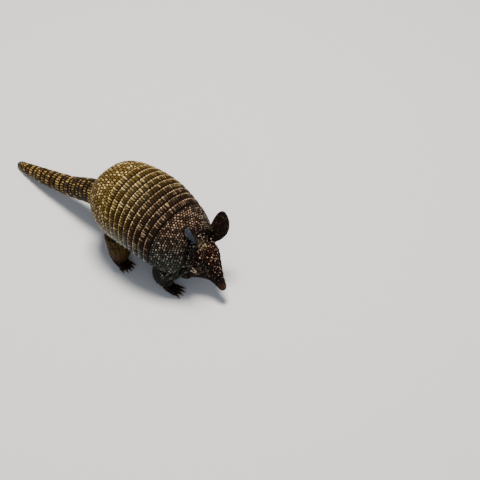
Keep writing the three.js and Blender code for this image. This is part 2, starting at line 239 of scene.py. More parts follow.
# %% Where these curves lie in the frame
BANDS = 9
BANDS_START, BANDS_END = 0.255, 0.7
PLATE = 1.5  # thickness of the shell
LAP = 0.3  # the rear edge of a band stands this much above its front edge
GAP = 0.3


def band_station(band):
    return lerp(BANDS_START, BANDS_END, band / BANDS)


# A band reaches furthest forward at a corner of its rim, which the curves give exactly.
MIDDLE_BAND = 5
rim = np.radians(rim_angle(band_station(MIDDLE_BAND - 1)))
corners = body_point(band_station(MIDDLE_BAND - 1), rim, np.array([-PLATE - LAP, -LAP]))
SHIFT = np.array([0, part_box(f"band_{MIDDLE_BAND}")[0].y / MM - corners[:, 1].min(), 0])
print("the curves are moved by", SHIFT.round(3), "mm")


def in_frame(points):
    """Millimetres of the curves to metres of the frame."""
    return (np.asarray(points) + SHIFT) * MM


# %% [markdown]
# ## Plates with sculpted scutes
# On the real casting a scute is a low boss with a groove round it. Three ways suggest themselves: a
# bump map, thousands of small copies, or one finely divided sheet whose points are lifted by a
# formula. The last is closest to how a sculptor presses the pattern into one surface, it has true
# edges in profile, and it gives each point a value for how proud it stands, which the paint needs.
#
# The formula works with a staggered lattice. For each point it finds the nearest and the second
# nearest boss. Where the two are equally far the point lies in a groove.

# %% A staggered lattice of scutes
def hashed(a, b, seed):
    """A repeatable number from 0 to 1 for each pair of whole numbers."""
    mixed = np.sin(a * 127.1 + b * 311.7 + seed * 74.7) * 43758.5453
    return mixed - np.floor(mixed)


def nearest_boss(bosses):
    """Bosses give their distances and random numbers. Returns how far each point is from the nearest
    boss and from the groove, and that boss's number."""
    nearest, second, luck = np.inf, np.inf, 0
    for distance, chance in bosses:
        closer = distance < nearest
        second = np.where(closer, nearest, np.minimum(second, distance))
        luck = np.where(closer, chance, luck)
        nearest = np.where(closer, distance, nearest)
    return nearest, (second - nearest) / 2, luck


UNEVEN = 0.12  # how far a scute may be off its place, in scutes


def scute_lattice(column, row, width, pitch, seed):
    """The nearest boss, in mm. Width and pitch are a scute's local size in mm."""
    def bosses():
        for row_step in (-1, 0, 1):
            j = np.round(row) + row_step
            stagger = 0.5 * (j % 2)
            for column_step in (-1, 0, 1):
                i = np.round(column - stagger) + column_step
                across = column - i - stagger + UNEVEN * (hashed(i, j, seed) - 0.5)
                along = row - j + UNEVEN * (hashed(i, j, seed + 1) - 0.5)
                yield np.hypot(across * width, along * pitch), hashed(i, j, seed + 2)

    return nearest_boss(bosses())


def boss(nearest, to_groove, size, groove=(0, 0.26), dome=0.35):
    """How proud a point of a scute stands, from 0 in the groove to 1 on top. Groove is the half width of
    its floor and of its top, and dome is how much the scute falls off towards its sides."""
    return smoothstep(*groove, to_groove) * (1 - dome * np.clip(nearest / size, 0, 1) ** 2)


# %% Grids of points
def along_across(rows, columns):
    """One grid that goes from 0 to 1 down the rows, and one from -1 to 1 over the columns."""
    return np.meshgrid(np.linspace(0, 1, rows), np.linspace(-1, 1, columns), indexing="ij")


def along_around(rows, columns):
    """The same, but with a full turn over the columns."""
    turn = np.arange(columns) / columns * 2 * math.pi
    return np.meshgrid(np.linspace(0, 1, rows), turn, indexing="ij")


def arc_length(points, axis):
    """Distance along one axis of a grid of points, from its first row or column."""
    steps = np.linalg.norm(np.diff(points, axis=axis), axis=-1)
    zero = np.zeros_like(np.take(steps, [0], axis))
    return np.concatenate([zero, np.cumsum(steps, axis=axis)], axis)


def to_end(points, axis):
    """Distance along one axis of a grid of points to the nearer end."""
    run = arc_length(points, axis)
    return np.minimum(run, np.take(run, [-1], axis) - run)


def to_edge(points):
    return np.minimum(to_end(points, 0), to_end(points, 1))


def grid_faces(rows, columns, first=0, wrap=True):
    """Quads of a grid of points, which may close round its columns."""
    last = columns if wrap else columns - 1
    return [(first + i * columns + j, first + i * columns + (j + 1) % columns,
             first + (i + 1) * columns + (j + 1) % columns, first + (i + 1) * columns + j)
            for i in range(rows - 1) for j in range(last)]


# %% Edit a mesh, finish it, and make a piece of it
@contextmanager
def edited(mesh):
    """A mesh that is opened for editing and written back afterwards."""
    work = bmesh.new()
    work.from_mesh(mesh)
    yield work
    work.to_mesh(mesh)
    work.free()


def outward_faces(mesh):
    with edited(mesh) as work:
        bmesh.ops.recalc_face_normals(work, faces=work.faces)


def finish_mesh(mesh, values, crease=55):
    """Shades a mesh smooth but for its creases, and stores a value for each point by name."""
    mesh.shade_smooth()
    mesh.set_sharp_from_angle(angle=math.radians(crease))
    for name, per_point in values.items():
        mesh.attributes.new(name, "FLOAT", "POINT").data.foreach_set("value", per_point)


def new_piece(name, mesh, material, slot, *nodes):
    """An object that rides on the one body and stands for some of the solids."""
    piece = bpy.data.objects.new(name, mesh)
    bpy.context.scene.collection.objects.link(piece)
    mesh.materials.append(material)
    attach(piece, "root")
    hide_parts(*nodes)
    return piece


# %% A closed sheet from two grids of points
INNER_ROWS = 4  # the hidden inside of a sheet is coarse along its length
UV_FLOOR, UV_EDGE = 0.12, 0.012  # the outside fills the map above this height, inside its margins


def sheet_mesh(name, outer, inner, values):
    """The outer grid, the inner grid and the four walls between them, with a map for baking."""
    wide = outer.shape[1]
    rows, columns = outer.shape[0] - 1, wide - 1
    step = rows // INNER_ROWS
    first_inner = outer.shape[0] * wide
    points = np.concatenate([outer.reshape(-1, 3), inner.reshape(-1, 3)])

    u = np.linspace(2 * UV_EDGE, 1 - 2 * UV_EDGE, wide)
    v = np.linspace(UV_FLOOR + 2 * UV_EDGE, 1 - 2 * UV_EDGE, rows + 1)
    low = np.linspace(UV_EDGE, UV_FLOOR - UV_EDGE, INNER_ROWS + 1)
    spots = [(x, y) for y in (*v, *low) for x in u]
    faces = grid_faces(rows + 1, wide, wrap=False)
    faces += [(a, d, c, b) for a, b, c, d in grid_faces(INNER_ROWS + 1, wide, first_inner, wrap=False)]
    places = [spots[i] for face in faces for i in face]
    for i, k, out in ((0, 0, -UV_EDGE), (rows, INNER_ROWS, UV_EDGE)):
        for j in range(columns):
            a, b = i * wide + j, first_inner + k * wide + j
            faces.append((a, b, b + 1, a + 1))
            places += [(u[j], v[i]), (u[j], v[i] + out), (u[j + 1], v[i] + out), (u[j + 1], v[i])]
    for j, out in ((0, -UV_EDGE), (columns, UV_EDGE)):
        for k in range(INNER_ROWS):
            side = range(k * step, (k + 1) * step + 1)
            ends = [first_inner + (k + 1) * wide + j, first_inner + k * wide + j]
            faces.append([i * wide + j for i in side] + ends)
            places += [(u[j], v[i]) for i in side]
            places += [(u[j] + out, v[(k + 1) * step]), (u[j] + out, v[k * step])]
    mesh = bpy.data.meshes.new(name)
    mesh.from_pydata(in_frame(points).tolist(), [], faces)
    mesh.uv_layers.new(name="OFBake").data.foreach_set("uv", np.array(places).ravel())
    outward_faces(mesh)
    hidden = np.zeros(inner.shape[0] * wide)
    finish_mesh(mesh, {key: np.concatenate([each.ravel(), hidden]) for key, each in values.items()})
    return mesh


# %% A closed tube from one grid of points
def tube_mesh(name, surface, values):
    """Each row of the grid is a ring, and the first and last rings are filled."""
    rows, columns = surface.shape[:2]
    rings = np.arange(rows * columns).reshape(rows, columns).tolist()
    mesh = bpy.data.meshes.new(name)
    mesh.from_pydata(in_frame(surface.reshape(-1, 3)).tolist(), [],
                     grid_faces(rows, columns) + [rings[0], rings[-1][::-1]])
    outward_faces(mesh)
    finish_mesh(mesh, {key: each.ravel() for key, each in values.items()})
    return mesh


# %% [markdown]
# ## Paint on cast resin
# The figure is cast polyester resin with a mineral filler: a hard, slightly chalky plastic with an
# index of refraction near 1.5 and no metal in it. Over it lie acrylic paints and a thin satin varnish.
# The relief scatters what little that reflects, so the level of reflection is set low, and the grooves
# stay dark. The painter's three steps become three colours that are mixed by how proud the surface
# stands. A noise with the spacing of a brush's skips breaks up the light colour, because a dry brush
# never covers evenly.

# %% A dry-brushed paint
RESIN_IOR = 1.5
REFLECTION = 0.06  # where 0.5 would be a smooth surface of that index
BRUSH_MM = 0.9  # spacing of the brush's skips
PIGMENT_MM = 0.12  # grain of the paint film: finer than the eye resolves, drawn as a slight bump


def painted(name, wash, body, brushed, reach=(0.6, 1.0), cover=1.0, roughness=0.48):
    """Wash in the grooves, body colour above them, brushed colour on top. The body and brushed colours
    are hex codes or node outputs. Reach is how proud the surface is where the brush starts and is full."""
    material, tree = new_material(name)
    place = add(tree, "ShaderNodeTexCoord").outputs["Object"]
    proud, luck = (add(tree, "ShaderNodeAttribute", attribute_name=each).outputs["Fac"]
                   for each in ("proud", "luck"))
    skips = add(tree, "ShaderNodeTexNoise", {"Vector": place, "Scale": 1 / (BRUSH_MM * MM), "Detail": 3.0})
    body_at = add(tree, "ShaderNodeMapRange", {0: proud, 1: 0.05, 2: 0.5}, interpolation_type="SMOOTHSTEP")
    start, end = reach
    brushed_at = add(tree, "ShaderNodeMapRange", {0: proud, 1: start, 2: end},
                     interpolation_type="SMOOTHSTEP")
    patchy = add(tree, "ShaderNodeMapRange", {0: skips.outputs["Fac"], 1: 0.36, 2: 0.62})
    lucky = add(tree, "ShaderNodeMapRange", {0: luck, 1: 0.3, 2: 0.85, 3: 0.1, 4: 1.0})
    amount = brushed_at.outputs[0]
    for part in (lucky.outputs[0], patchy.outputs[0], cover):
        amount = add(tree, "ShaderNodeMath", {0: amount, 1: part}, operation="MULTIPLY").outputs[0]
    codes = [colour(each) if isinstance(each, str) else each(tree) for each in (wash, body, brushed)]
    two = add(tree, "ShaderNodeMix", {0: body_at.outputs[0], 6: codes[0], 7: codes[1]}, data_type="RGBA")
    three = add(tree, "ShaderNodeMix", {0: amount, 6: two.outputs[2], 7: codes[2]}, data_type="RGBA")
    grain = add(tree, "ShaderNodeTexNoise", {"Vector": place, "Scale": 1 / (PIGMENT_MM * MM), "Detail": 2.0})
    film = add(tree, "ShaderNodeBump", {"Height": grain.outputs["Fac"], "Strength": 0.25,
                                        "Distance": 0.03 * MM})
    sheen = add(tree, "ShaderNodeMapRange", {0: skips.outputs["Fac"], 1: 0.3, 2: 0.7,
                                             3: roughness - 0.08, 4: roughness + 0.1})
    shader = add(tree, "ShaderNodeBsdfPrincipled", {
        "Base Color": three.outputs[2], "Roughness": sheen.outputs[0], "IOR": RESIN_IOR,
        "Specular IOR Level": REFLECTION, "Normal": film.outputs[0]})
    add(tree, "ShaderNodeOutputMaterial", {"Surface": shader.outputs[0]})
    return material


def blended(attribute, low, high, first, second):
    """A colour that turns from the first to the second as a stored value goes from low to high."""
    def build(tree):
        value = add(tree, "ShaderNodeAttribute", attribute_name=attribute).outputs["Fac"]
        part = add(tree, "ShaderNodeMapRange", {0: value, 1: low, 2: high}, interpolation_type="SMOOTHSTEP")
        ends = [colour(each) if isinstance(each, str) else each(tree) for each in (first, second)]
        return add(tree, "ShaderNodeMix", {0: part.outputs[0], 6: ends[0], 7: ends[1]},
                   data_type="RGBA").outputs[2]
    return build


def layered(base, *zones):
    """A colour with zones over it, each of them the last values of the function above."""
    for attribute, low, high, code in zones:
        base = blended(attribute, low, high, base, code)
    return base


# The shell goes from a cold dark brown at the collar to ochre at the rump, and the brushed colour from a
# pinkish cream to gold. Towards the rim both turn to a blue-grey, a painted reflection of the floor: a sheen
# put into the colour. The stored value "rim" is 1 there, and "station" runs from 0 at the collar to 1 at
# the rump.
shell_body = blended("station", 0.3, 0.75, "#1f130a", "#463306")
shell_light = blended("station", 0.25, 0.6, "#c9a786", "#f0d795")
shell_paint = painted(
    "Satin acrylic on cast resin, banded shell",
    wash="#0b0501",
    # the grey towards the rim, in the body and the brushed colour, is a painted reflection of the floor
    body=blended("rim", 0.64, 0.92, shell_body, blended("station", 0.3, 0.7, "#2c2a24", "#7a776c")),
    brushed=blended("rim", 0.68, 0.95, shell_light, "#cdcfce"),
)
shoulder_paint = painted(
    "Satin acrylic on cast resin, shoulder",
    wash="#070301",
    # towards the rim the shoulder turns grey-green: partly its own paint, and at the lower rim a painted
    # reflection of the floor
    body=blended("rim", 0.45, 0.85, blended("station", 0.02, 0.2, "#0f0805", "#1d1008"), "#20221b"),
    brushed=blended("rim", 0.05, 0.75, blended("station", 0.02, 0.2, "#8e7664", "#c8a588"), "#a3a295"),
)

# %% [markdown]
# ## The shoulder and pelvic shields
# Front and rear of the shell are rigid shields with scutes in staggered rows. The columns of scutes run
# together towards the collar and the rump, so the number across stays the same and only their width
# changes. Rows are counted along the surface itself, which keeps them evenly spaced where the shell
# curves down to the tail.

# %% Shields
SUNK = 0.05  # the tops of the scutes stay this far inside the solid
RELIEF = 0.42  # depth of the grooves
EDGE_ROUND = 0.5  # how far from its edge a plate starts to round off
EDGE_WORN = 0.35  # how proud the very edge counts for the brush
WORN = 0.12  # the most that one scute is lower than its neighbours
COLLAR_CORNER, COLLAR_NOTCH = 0.09, 0.05


def collar_edge(across):
    return COLLAR_CORNER * across ** 6 + COLLAR_NOTCH * (1 - across ** 2) ** 3


def shield(name, start, end, front_edge, columns, scute_pitch, seed, size):
    """A plate of the shell from rim to rim. Size is its number of points along and across."""
    along, across = along_across(*size)
    station = lerp(start + front_edge(across), end, along)
    angle = across * np.radians(rim_angle(station))
    smooth = body_point(station, angle)
    down, aside = arc_length(smooth, 0), arc_length(smooth, 1)
    length = down[-1].mean()
    rows = length / scute_pitch
    width = aside[:, -1:] / columns
    nearest, to_groove, luck = scute_lattice(
        across * columns / 2, down / down[-1:] * rows, width, scute_pitch, seed)
    proud = boss(nearest, to_groove, scute_pitch / 2)
    edge = smoothstep(0, EDGE_ROUND, to_edge(smooth))
    grow = -SUNK - RELIEF * (1 - proud) - EDGE_ROUND * (1 - edge) - WORN * luck * proud
    outer = body_point(station, angle, grow)
    inner = body_point(station, angle, -PLATE)[::(size[0] - 1) // INNER_ROWS]
    print(name, "has about", round(rows * columns), "scutes", f"{width.mean():.2f} mm wide")
    return sheet_mesh(name, outer, inner, {
        "proud": proud * lerp(EDGE_WORN, 1, edge), "luck": luck, "rim": np.abs(across), "station": station})


GAP_STATION = GAP / SHELL_LENGTH
shoulder = shield("shoulder_scutes", 0, BANDS_START - GAP_STATION, collar_edge,
                  columns=48, scute_pitch=1.25, seed=1, size=(89, 393))
new_piece("shoulder_scutes", shoulder, shoulder_paint, "shoulder_paint", "shoulder_shield")
pelvis = shield("pelvic_scutes", BANDS_END, 1, lambda across: 0 * across,
                columns=50, scute_pitch=1.95, seed=2, size=(149, 401))
new_piece("pelvic_scutes", pelvis, shell_paint, "shell_paint", "pelvic_shield")

# %% [markdown]
# ## The nine bands
# Between the shields lie nine movable bands, each sliding under the one in front. A band is a row of
# long wedge-shaped scutes whose rear ends form a beaded edge. The brush catches that edge first, and
# then the ridges of some wedges, so from a distance the shell is ruled with bright lines that have fine
# ticks in front. Each band is a sheet of its own that dips at its front edge and ends behind in a row of
# beads.

# %% Bands
BAND_SCUTES = 56
BAND_SIZE = (25, 433)
BEAD_AT = 0.86  # where along a band its beads are
TUCK, OVERLAP = 0.25, 0.2  # mm: how far a band reaches under the one before and over the one behind
BAND_SUNK, RIDGE_RISE, BEAD_RISE = 0.55, 0.16, 0.4  # mm: its level, and what stands above that
REAR_DROP, FRONT_DROP, SIDE_DROP, BAND_WORN = 0.3, 0.2, 0.4, 0.05  # mm: how far its edges lie lower
STREAK_FAINT, STREAK_MORE = 0.33, 0.36  # how proud every ridge counts for the brush, and some of them


def band_mesh(band):
    along, across = along_across(*BAND_SIZE)
    first = band_station(band) - TUCK / SHELL_LENGTH
    last = band_station(band + 1) - GAP_STATION + OVERLAP / SHELL_LENGTH
    station = lerp(first, last, along)
    corner = 1 - 0.03 * np.abs(2 * along - 1) ** 3
    angle = across * corner * np.radians(rim_angle(station))
    column = across * BAND_SCUTES / 2 + 0.5 * (band % 2)
    number = np.floor(column)
    centred = 2 * (column - number) - 1  # -1 and 1 in the grooves, 0 on the scute's middle
    wedge = 1 - 0.55 * fade(0.1, 0.75, along)
    ridge = fade(wedge - 0.4, wedge, np.abs(centred))
    bead = hump(along - BEAD_AT, 0.12) * fade(0.4, 0.95, np.abs(centred))
    rear = smoothstep(0.9, 1, along)
    front = fade(0, 0.18, along)
    luck = 0.5 + 0.5 * hashed(number, np.full_like(number, band), 5)
    edge = smoothstep(0, EDGE_ROUND, to_end(body_point(station, angle), 1))
    grow = (-BAND_SUNK + RIDGE_RISE * ridge + BEAD_RISE * bead - REAR_DROP * rear - FRONT_DROP * front
            + LAP * (along - 1) * 0.5 - SIDE_DROP * (1 - edge) - BAND_WORN * luck)
    line = hump(along - BEAD_AT, 0.1) * (1 - 0.5 * smoothstep(0.5, 1, np.abs(centred)))
    streak = ridge * smoothstep(0.1, 0.35, along) * fade(0.68, 0.84, along)
    chance = hashed(number, np.full_like(number, band), 9)
    proud = np.clip(0.14 + (STREAK_FAINT + STREAK_MORE * chance) * streak + 0.9 * line - 0.2 * front, 0, 1)
    outer = body_point(station, angle, np.minimum(grow, -SUNK))
    inner = body_point(station, angle, -PLATE - LAP * (1 - along))[::(BAND_SIZE[0] - 1) // INNER_ROWS]
    return sheet_mesh(f"band_scutes_{band + 1}", outer, inner, {
        "proud": proud * lerp(EDGE_WORN, 1, edge), "luck": luck, "rim": np.abs(across), "station": station})


for band in range(BANDS):
    new_piece(f"band_scutes_{band + 1}", band_mesh(band), shell_paint, "shell_paint", f"band_{band + 1}")
print(BANDS, "bands of", BAND_SCUTES, "scutes")


# %% [markdown]
# ## Forms of the flesh
# Head, neck, trunk and legs are first blocked in as simple closed blobs, each swept along a line with a
# section that swells and shrinks. They overlap freely. A voxel remesh then welds them into one skin, as
# a modeller presses lumps of clay together, and a little smoothing turns each junction into a fold of
# flesh. That is quicker and softer than joining the parts edge by edge.

# %% Blobs
def blob(place, blunt, rows=44, columns=56):
    """Points and faces of a rounded form. The place function gets a station, an angle and how full the
    section is there, which falls to nothing at both ends."""
    height = -np.cos(np.linspace(0, math.pi, rows + 1))[:, None]
    full = (1 - np.abs(height) ** blunt) ** (1 / blunt)
    angle = np.linspace(0, 2 * math.pi, columns, endpoint=False)[None, :]
    grid = place((1 + height) / 2 + 0 * angle, angle + 0 * height, full + 0 * angle)
    return grid.reshape(-1, 3), grid_faces(rows + 1, columns)


STEP = 1e-3  # part of a line over which its direction is taken


def path(*points):
    """A smooth line through points, and its direction."""
    points = np.array(points, float)
    stations = np.linspace(0, 1, len(points))
    parts = [curve(*zip(stations, points[:, axis])) for axis in range(3)]

    def follow(t):
        place = np.stack([part(t) for part in parts], -1)
        after, before = np.minimum(t + STEP, 1), np.maximum(t - STEP, 0)
        ahead = np.stack([part(after) - part(before) for part in parts], -1)
        return place, ahead / np.linalg.norm(ahead, axis=-1, keepdims=True)

    return follow


LEFT = np.array([1.0, 0, 0])
UP = np.array([0, 0, 1.0])


def around(line, station, across, rise):
    """A point beside a line: across is to the animal's left, rise is square to it."""
    place, ahead = line(station)
    out = LEFT - (ahead @ LEFT)[..., None] * ahead
    out /= np.linalg.norm(out, axis=-1, keepdims=True)
    return place + out * across[..., None] + np.cross(out, ahead) * rise[..., None]


# %% Trunk
TRUNK_START, TRUNK_END = 0.17, 0.99
RIM_CLEAR, RIM_FILLED = 4, 24  # degrees past the rim where the belly starts to fill out, and is full
UNDER_SHELL = PLATE + LAP + GAP


def trunk_place(along, angle, full):
    station = lerp(TRUNK_START, TRUNK_END, along)
    turned = np.degrees(np.abs((angle + math.pi) % (2 * math.pi) - math.pi))
    inset = UNDER_SHELL * fade(RIM_CLEAR, RIM_FILLED, turned - rim_angle(station))
    return body_point(station, angle, -inset, full)


# %% Head
NOSE = np.array([-1.6, -48.4, 8.8])
HEAD_LENGTH = 29
YAW, PITCH, ROLL = (math.radians(v) for v in (-14, 31, 14))
HEAD_TURN = np.array(
    Matrix.Rotation(YAW, 3, "Z") @ Matrix.Rotation(PITCH, 3, "X") @ Matrix.Rotation(ROLL, 3, "Y"))
HEAD_POWER = 0.9

head_half_width = curve((0, 2.4), (4, 3), (8, 3.6), (12, 4.8), (16, 6.6), (20, 7.7), (29, 7.2))
head_top = curve((0, 1.9), (4, 2.5), (8, 3.4), (12, 4.4), (16, 5.5), (20, 6.5), (29, 7.2))
head_bottom = curve((0, 2.1), (4, 2.9), (8, 4.4), (12, 9.6), (16, 16.8), (21, 19), (29, 16.5))


def from_head(points):
    """From the head's own axes, in which the nose tip is at 0 and +y runs back, to the curves' space."""
    return np.asarray(points) @ HEAD_TURN.T + NOSE


def into_head(points):
    return (np.asarray(points) - NOSE) @ HEAD_TURN


def head_point(distance, angle, grow=0, full=1):
    x, rise = section(angle, head_half_width(distance), head_top(distance), head_bottom(distance),
                      (HEAD_POWER, HEAD_POWER), grow, full)
    return np.stack(np.broadcast_arrays(x, distance, rise), -1)


def head_place(along, angle, full):
    return from_head(head_point(along * HEAD_LENGTH, angle, 0, full))


SIDES = {"left": 1, "right": -1}
EYE_RADIUS = 1.4
EYE_BACK, EYE_ANGLE, EYE_PROUD = 17.5, math.radians(106), 0.45


def eye_centre(side):
    """In the head's own axes."""
    inward = EYE_RADIUS * (1 - EYE_PROUD)
    return head_point(EYE_BACK, side * EYE_ANGLE) - side * inward * LEFT


# %% Neck
NECK_FLANK = 1.5  # how far the rim of the neck stands ahead of its middle, at its flanks

neck_line = path((1.2, -29, 17), (.6, -22, 18), (0, -15, 19.5))
neck_width = curve((0, 12.4), (.3, 13), (1, 13.6))
neck_rise = curve((0, 17.5), (.5, 17.6), (1, 15))
neck_drop = curve((0, 14), (.3, 15), (1, 14.3))


def neck_place(along, angle, full):
    """The neck fills the front opening of the shell."""
    up = np.cos(angle)
    place = around(neck_line, along, neck_width(along) * full * np.sin(angle),
                   np.where(up > 0, neck_rise(along), neck_drop(along)) * full * up)
    place[..., 1] -= NECK_FLANK * (full * np.sin(angle)) ** 2 * (1 - along)
    return place


# %% Ears
EAR_THICKNESS, EAR_CUP = 0.9, 0.22
EAR_PLUMP = 0.15  # added all round, because the smoothing afterwards takes it off again
EAR_TURN = math.radians(8)
# The root in the head's own axes, how long, wide and bowed the ear is, and in degrees how far it leans
# back and falls outward.
EARS = {
    "left": dict(side=1, root=(5.4, 26, 4), length=17.3, width=10.5, bow=1.2, tilt=32, splay=23),
    "right": dict(side=-1, root=(-8.7, 27.5, 8.5), length=15, width=9, bow=0, tilt=27, splay=27),
}

ear_outline = curve((0, 0.42), (.2, 0.78), (.5, 1), (.75, 0.84), (.92, 0.48), (1, 0.12))


def ear_axes(ear):
    """Three directions of an ear: forward, up along it, and outward."""
    side, tilt, splay = ear["side"], math.radians(ear["tilt"]), math.radians(ear["splay"])
    rise = math.cos(splay) * np.array([0, math.sin(tilt), math.cos(tilt)]) + side * math.sin(splay) * LEFT
    outward = side * LEFT - (side * LEFT @ rise) * rise
    outward /= np.linalg.norm(outward)
    outward = math.cos(EAR_TURN) * outward + math.sin(EAR_TURN) * np.cross(rise, outward)
    return np.array([np.cross(rise, outward), rise, outward])


EAR_SIZE = (40, 25)


def ear_mesh(ear):
    along, across = along_across(*EAR_SIZE)
    half = ear["width"] / 2 * ear_outline(along)
    middle = -ear["bow"] * np.sin(math.pi * along)
    sheets = []
    for depth in (EAR_PLUMP, -EAR_THICKNESS - EAR_PLUMP):
        local = np.stack([(half + EAR_PLUMP) * across + middle, (ear["length"] + EAR_PLUMP) * along,
                          EAR_CUP * half * across ** 2 + depth], -1)
        sheets.append(from_head(ear["root"] + local @ ear_axes(ear)))
    front, rear = (sheet.reshape(-1, 3) for sheet in sheets)
    count = len(front)
    faces = grid_faces(*EAR_SIZE, wrap=False)
    faces += [face[::-1] for face in grid_faces(*EAR_SIZE, count, wrap=False)]
    grid = np.arange(count).reshape(EAR_SIZE)
    border = [*grid[0], *grid[1:, -1], *grid[-1, -2::-1], *grid[-2::-1, 0]]
    faces += [(b, a, a + count, b + count) for a, b in zip(border, border[1:])]
    return np.concatenate([front, rear]), faces


# %% Legs and feet
LEGS = {
    "front": dict(hip=(11.5, -21.5, 19), knee=(15, -18, 11), ankle=(14.2, -20.5, 4.5), thigh=8, shank=3.9,
                  heel=(14.8, -17), length=9.5, width=7.4, height=5.2, toe_in=14, claws=4, claw=3.2),
    "hind": dict(hip=(14, 15, 24), knee=(17.8, 11, 13), ankle=(16.8, 15.5, 5), thigh=8.5, shank=4.2,
                 heel=(15.8, 18.5), length=13, width=8.4, height=5.6, toe_in=-6, claws=5, claw=2.4),
}
LEG_WIDTH, LEG_DEPTH = 0.9, 1.1
FOOT_POWER, SOLE_PRESSED = 0.8, 0.5
TOES_SPAN, TOES_INSET, TOES_BOW = 0.78, 1.6, 0.35
TOE_LENGTH, TOE_RADIUS, TOE_HEIGHT = 3.6, 1.35, 1.5
CLAW_RADIUS, CLAW_SPREAD, CLAW_DROP = 0.75, 12, 0.9

foot_width = curve((0, 0.62), (.5, 0.84), (1, 1))
foot_height = curve((0, 1), (.35, 1), (.8, 0.72), (1, 0.6))


def leg_place(leg, side):
    line = path(*[np.array(leg[joint]) * (side, 1, 1) for joint in ("hip", "knee", "ankle")])
    radius_at = curve((0, leg["thigh"]), (.5, (leg["thigh"] + leg["shank"]) / 2), (1, leg["shank"]))

    def place(along, angle, full):
        radius = radius_at(along) * full
        return around(line, along, LEG_WIDTH * radius * np.sin(angle), LEG_DEPTH * radius * np.cos(angle))

    return place


def foot_axes(leg, side):
    turn = math.radians(leg["toe_in"])
    ahead = np.array([-side * math.sin(turn), -math.cos(turn), 0])
    heel = np.array([side * leg["heel"][0], leg["heel"][1], 0])
    return heel, ahead, np.cross(ahead, UP)


def foot_place(leg, side):
    heel, ahead, aside = foot_axes(leg, side)

    def place(along, angle, full):
        across = leg["width"] / 2 * foot_width(along) * full * np.sin(angle)
        reach = (leg["height"] * foot_height(along) + SOLE_PRESSED) / 2
        rise = reach - SOLE_PRESSED + reach * full * squared(np.cos(angle), FOOT_POWER)
        flat = heel + ahead * (leg["length"] * along)[..., None] + aside * across[..., None]
        return flat + UP * np.maximum(rise, 0)[..., None]

    return place


def toes(leg, side):
    """Middle and directions of each toe of a foot."""
    heel, ahead, aside = foot_axes(leg, side)
    for i in range(leg["claws"]):
        off = i - (leg["claws"] - 1) / 2
        middle = heel + ahead * (leg["length"] - TOES_INSET - TOES_BOW * off * off)
        middle = middle + aside * off * TOES_SPAN * leg["width"] / leg["claws"] + UP * TOE_HEIGHT
        turn = np.array(Matrix.Rotation(-math.radians(CLAW_SPREAD * off), 3, "Z"))
        yield middle, turn @ ahead, np.cross(turn @ ahead, UP)


def toe_place(middle, ahead, aside):
    def place(along, angle, full):
        radius = TOE_RADIUS * full
        return (middle + ahead * (TOE_LENGTH * (along - 0.5))[..., None]
                + aside * (radius * np.sin(angle))[..., None] + UP * (radius * np.cos(angle))[..., None])
    return place


# %% Weld them into one skin
VOXEL_MM = 0.36

lumps = [blob(trunk_place, 6, 80, 120), blob(head_place, 5), blob(neck_place, 6)]
lumps += [ear_mesh(ear) for ear in EARS.values()]
for leg in LEGS.values():
    for side in SIDES.values():
        lumps += [blob(leg_place(leg, side), 5), blob(foot_place(leg, side), 3)]
        lumps += [blob(toe_place(*toe), 4, 16, 20) for toe in toes(leg, side)]


def welded(name, lumps, voxel, smoothing):
    """One closed mesh round overlapping lumps, smoothed a little."""
    mesh = bpy.data.meshes.new(name)
    with edited(mesh) as work:
        for points, faces in lumps:
            corners = [work.verts.new(point) for point in points]
            for face in faces:
                work.faces.new([corners[i] for i in face])
        bmesh.ops.remove_doubles(work, verts=work.verts, dist=1e-3)
        bmesh.ops.recalc_face_normals(work, faces=work.faces)
    piece = bpy.data.objects.new(name, mesh)
    bpy.context.scene.collection.objects.link(piece)
    weld = piece.modifiers.new("weld", "REMESH")
    weld.mode, weld.voxel_size = "VOXEL", voxel
    soften = piece.modifiers.new("soften", "SMOOTH")
    soften.factor, soften.iterations = 0.5, smoothing
    evaluated = piece.evaluated_get(bpy.context.evaluated_depsgraph_get())
    result = bpy.data.meshes.new_from_object(evaluated)
    bpy.data.objects.remove(piece)
    bpy.data.meshes.remove(mesh)
    return result


skin = welded("skin", lumps, VOXEL_MM, 5)
print("skin has", len(skin.polygons), "faces after the weld")


# %% Where a point is on the body
PLACE_ROUNDS = 8  # station and rise depend on each other, and settle in this many rounds


def rows_of(values, key):
    """Three numbers for each point of a mesh."""
    flat = np.empty(3 * len(values))
    values.foreach_get(key, flat)
    return flat.reshape(-1, 3)


def body_place(points):
    """Station, angle from the spine in degrees, and how full the section is, where 1 is the outside."""
    station = rise = np.zeros(len(points))
    for _ in range(PLACE_ROUNDS):
        shift = rise * np.sin(np.radians(lean(station)))
        station = np.clip((points[:, 1] - COLLAR_Y - shift) / SHELL_LENGTH, 0, 1)
        rise = (points[:, 2] - axis_height(station)) / np.cos(np.radians(lean(station)))
    reach = np.where(rise > 0, back_rise(station), belly_drop(station))
    across = (np.abs(points[:, 0]) / half_width(station)) ** (1 / SIDE_POWER)
    up = np.sign(rise) * (np.abs(rise) / reach) ** (1 / BACK_POWER)
    return station, np.degrees(np.arctan2(across, up)), np.hypot(across, up)


# %% Take away what the shell hides, and divide the head more finely
HIDDEN = 14  # degrees above the rim where the skin ends, well under the shell
HIDDEN_STATION, HIDDEN_Y = 0.1, -24  # only what lies behind both is cut away
FINE_FRONT, FINE_REAR, FINE_SIDE = -2, 24, 9  # what part of the head is divided once more

